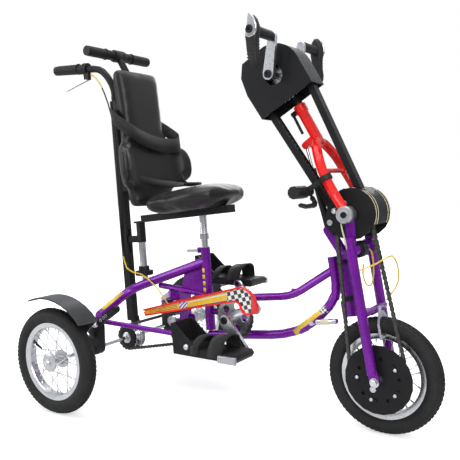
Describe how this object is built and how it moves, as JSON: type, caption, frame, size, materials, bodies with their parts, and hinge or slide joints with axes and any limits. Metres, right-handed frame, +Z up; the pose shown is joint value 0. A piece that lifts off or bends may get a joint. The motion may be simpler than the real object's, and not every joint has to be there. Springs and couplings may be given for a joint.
{
  "type": "handcycle",
  "caption": "Adaptive tricycle driven by hand cranks on a tilting mast and by foot cranks, with a backed seat, push handle, foot plates and chain guard.",
  "frame": {"origin": "centre of the bounding box, on the ground", "axes": "+X forward, +Y to the rider's left, +Z up"},
  "size_m": [1.2874, 0.73, 1.037],
  "materials": {
    "purple_paint": "glossy metallic purple",
    "red_paint": "glossy red",
    "black_paint": "satin black, fine texture",
    "black_plastic": "matte black",
    "vinyl": "glossy black upholstery vinyl",
    "tyre": "side treads",
    "grip_rubber": "soft black",
    "fender_grey": "dark grey",
    "chrome": "bright",
    "silver": "polished",
    "chain_steel": "oiled chain steel",
    "yellow_casing": "yellow cable casing",
    "guard_print": "printed panel in yellow, blue and chequers with a red rim"
  },
  "bodies": {
    "main_frame": {"seat_tube": "purple_paint", "right_axle_carrier": "black_paint", "left_axle_carrier": "black_paint", "rear_tube": "purple_paint", "seat_brace": "purple_paint", "right_lower_stay": "purple_paint", "left_lower_stay": "purple_paint", "front_upper_tube": "purple_paint", "down_tube": "purple_paint", "rear_post": "black_paint", "rear_seat_post": "chrome", "backrest_board": "black_paint", "backrest": "vinyl", "chest_belt": "vinyl", "push_handle": "black_paint", "chain_guard": "guard_print", "right_fender": "fender_grey", "left_fender": "fender_grey", "rear_chain": "chain_steel", "rear_brake_cable": "yellow_casing"},
    "fork_set": {"fork": "purple_paint", "front_chain": "chain_steel", "front_brake_cable": "yellow_casing"},
    "front_wheel_set": {"front_wheel": "silver", "front_tyre": "tyre", "drive_disc": "black_paint"},
    "jackshaft": {"jackshaft": "chain_steel"},
    "mast_set": {"mast": "red_paint", "inner_mast": "black_paint", "crank_housing": "black_paint", "rear_chain_channel": "black_paint", "front_chain_channel": "black_paint", "drum_cover": "black_paint", "hand_chain": "chain_steel", "brake_grip": "grip_rubber"},
    "mast_lever": {"mast_clamp_lever": "black_plastic"},
    "strut_body": {"strut_cylinder": "black_paint"},
    "strut_piston": {"strut_rod": "chrome"},
    "brake_lever": {"brake_lever": "black_plastic"},
    "right_caliper": {"right_brake_arm": "silver"},
    "left_caliper": {"left_brake_arm": "silver"},
    "hand_crank": {"hand_crank": "silver"},
    "right_grip": {"right_hand_grip": "grip_rubber"},
    "left_grip": {"left_hand_grip": "grip_rubber"},
    "foot_crank": {"foot_crank": "silver"},
    "right_foot": {"right_foot_plate": "black_plastic"},
    "left_foot": {"left_foot_plate": "black_plastic"},
    "rear_axle_set": {"rear_axle": "chrome", "right_rear_wheel": "silver", "right_rear_tyre": "tyre"},
    "left_wheel_set": {"left_rear_wheel": "silver", "left_rear_tyre": "tyre"},
    "idler": {"idler_hub": "silver"},
    "seat": {"seat_channel": "black_paint", "seat_cushion": "vinyl", "front_seat_post": "chrome"},
    "knob": {"knob_wheel": "black_plastic"},
    "seat_lever": {"seat_clamp_lever": "silver"},
    "push_lever": {"push_brake_lever": "silver"},
    "parking": {"parking_lever": "black_plastic"}
  },
  "joints": [
    {"name": "steering", "type": "hinge", "parent": "main_frame", "child": "fork_set", "pos_m": [0.38925, 0, 0.419], "axis": [-0.1736, 0, 0.9848], "range_deg": [-35, 35]},
    {"name": "hand_crank_turn", "type": "hinge", "parent": "mast_set", "child": "hand_crank", "pos_m": [0.22212, 0, 0.90157], "axis": [0, 1, 0], "continuous": true},
    {"name": "front_wheel_turn", "type": "hinge", "parent": "fork_set", "child": "front_wheel_set", "pos_m": [0.49725, 0, 0.147], "axis": [0, 1, 0], "continuous": true},
    {"name": "jackshaft_turn", "type": "hinge", "parent": "fork_set", "child": "jackshaft", "pos_m": [0.4292, 0, 0.55003], "axis": [0, 1, 0], "continuous": true},
    {"name": "mast_tilt", "type": "hinge", "parent": "fork_set", "child": "mast_set", "pos_m": [0.4292, 0, 0.55003], "axis": [0, 1, 0], "range_deg": [-10, 28]},
    {"name": "strut_swing", "type": "hinge", "parent": "fork_set", "child": "strut_body", "pos_m": [0.34829, 0, 0.50499], "axis": [0, 1, 0], "range_deg": [-9.5, 25]},
    {"name": "strut_stroke", "type": "slide", "parent": "strut_body", "child": "strut_piston", "axis": [-0.275, 0, 0.9614], "range_m": [-0.016, 0.045]},
    {"name": "mast_clamp_turn", "type": "hinge", "parent": "mast_set", "child": "mast_lever", "pos_m": [0.27237, 0, 0.81627], "axis": [0.8616, 0, 0.5075], "range_deg": [0, 90]},
    {"name": "brake_lever_pull", "type": "hinge", "parent": "mast_set", "child": "brake_lever", "pos_m": [0.32848, -0.052, 0.58703], "axis": [-0.8616, 0, -0.5075], "range_deg": [0, 10], "stiffness_Nm_per_rad": 2},
    {"name": "right_brake_close", "type": "hinge", "parent": "fork_set", "child": "right_caliper", "pos_m": [0.48018, 0, 0.31217], "axis": [0.9848, 0, 0.1736], "range_deg": [0, 1.6]},
    {"name": "left_brake_close", "type": "hinge", "parent": "fork_set", "child": "left_caliper", "pos_m": [0.48018, 0, 0.31217], "axis": [0.9848, 0, 0.1736], "range_deg": [-1.6, 0]},
    {"name": "right_grip_turn", "type": "hinge", "parent": "hand_crank", "child": "right_grip", "pos_m": [0.23413, -0.095, 0.99279], "axis": [0, 1, 0], "continuous": true},
    {"name": "left_grip_turn", "type": "hinge", "parent": "hand_crank", "child": "left_grip", "pos_m": [0.23413, 0.095, 0.99279], "axis": [0, 1, 0], "continuous": true},
    {"name": "foot_crank_turn", "type": "hinge", "parent": "main_frame", "child": "foot_crank", "pos_m": [0.07525, 0, 0.255], "axis": [0, 1, 0], "continuous": true},
    {"name": "right_foot_turn", "type": "hinge", "parent": "foot_crank", "child": "right_foot", "pos_m": [0.13757, -0.09, 0.1833], "axis": [0, 1, 0], "continuous": true},
    {"name": "left_foot_turn", "type": "hinge", "parent": "foot_crank", "child": "left_foot", "pos_m": [0.01292, 0.09, 0.3267], "axis": [0, 1, 0], "continuous": true},
    {"name": "rear_axle_turn", "type": "hinge", "parent": "main_frame", "child": "rear_axle_set", "pos_m": [-0.32675, 0, 0.147], "axis": [0, 1, 0], "continuous": true},
    {"name": "left_wheel_turn", "type": "hinge", "parent": "main_frame", "child": "left_wheel_set", "pos_m": [-0.32675, 0.328, 0.147], "axis": [0, 1, 0], "continuous": true},
    {"name": "idler_turn", "type": "hinge", "parent": "main_frame", "child": "idler", "pos_m": [-0.14675, 0, 0.219], "axis": [0, 1, 0], "continuous": true},
    {"name": "seat_height", "type": "slide", "parent": "main_frame", "child": "seat", "axis": [-0.0628, 0, 0.998], "range_m": [-0.02, 0.015]},
    {"name": "knob_turn", "type": "hinge", "parent": "main_frame", "child": "knob", "pos_m": [-0.2817, 0, 0.35048], "axis": [-0.0628, 0, 0.998], "continuous": true},
    {"name": "seat_clamp_open", "type": "hinge", "parent": "main_frame", "child": "seat_lever", "pos_m": [-0.0699, -0.009, 0.43194], "axis": [0, 1, 0], "range_deg": [-60, 0]},
    {"name": "push_lever_pull", "type": "hinge", "parent": "main_frame", "child": "push_lever", "pos_m": [-0.49975, 0, 0.97], "axis": [0, 1, 0], "range_deg": [0, 10], "stiffness_Nm_per_rad": 1.5},
    {"name": "parking_brake", "type": "hinge", "parent": "main_frame", "child": "parking", "pos_m": [-0.32775, -0.186, 0.208], "axis": [0, -1, 0], "range_deg": [0, 30]}
  ],
  "couplings": [
    {"joint": "front_wheel_turn", "follows": "hand_crank_turn", "ratio": 1.1543},
    {"joint": "jackshaft_turn", "follows": "hand_crank_turn", "ratio": 1.8889},
    {"joint": "strut_swing", "follows": "mast_tilt", "ratio": 0.86},
    {"joint": "strut_stroke", "follows": "mast_tilt", "m_per_rad": 0.0831},
    {"joint": "right_brake_close", "follows": "brake_lever_pull", "ratio": 0.16},
    {"joint": "left_brake_close", "follows": "brake_lever_pull", "ratio": -0.16},
    {"joint": "rear_axle_turn", "follows": "foot_crank_turn", "ratio": 1.5556},
    {"joint": "idler_turn", "follows": "foot_crank_turn", "ratio": 3.5}
  ]
}
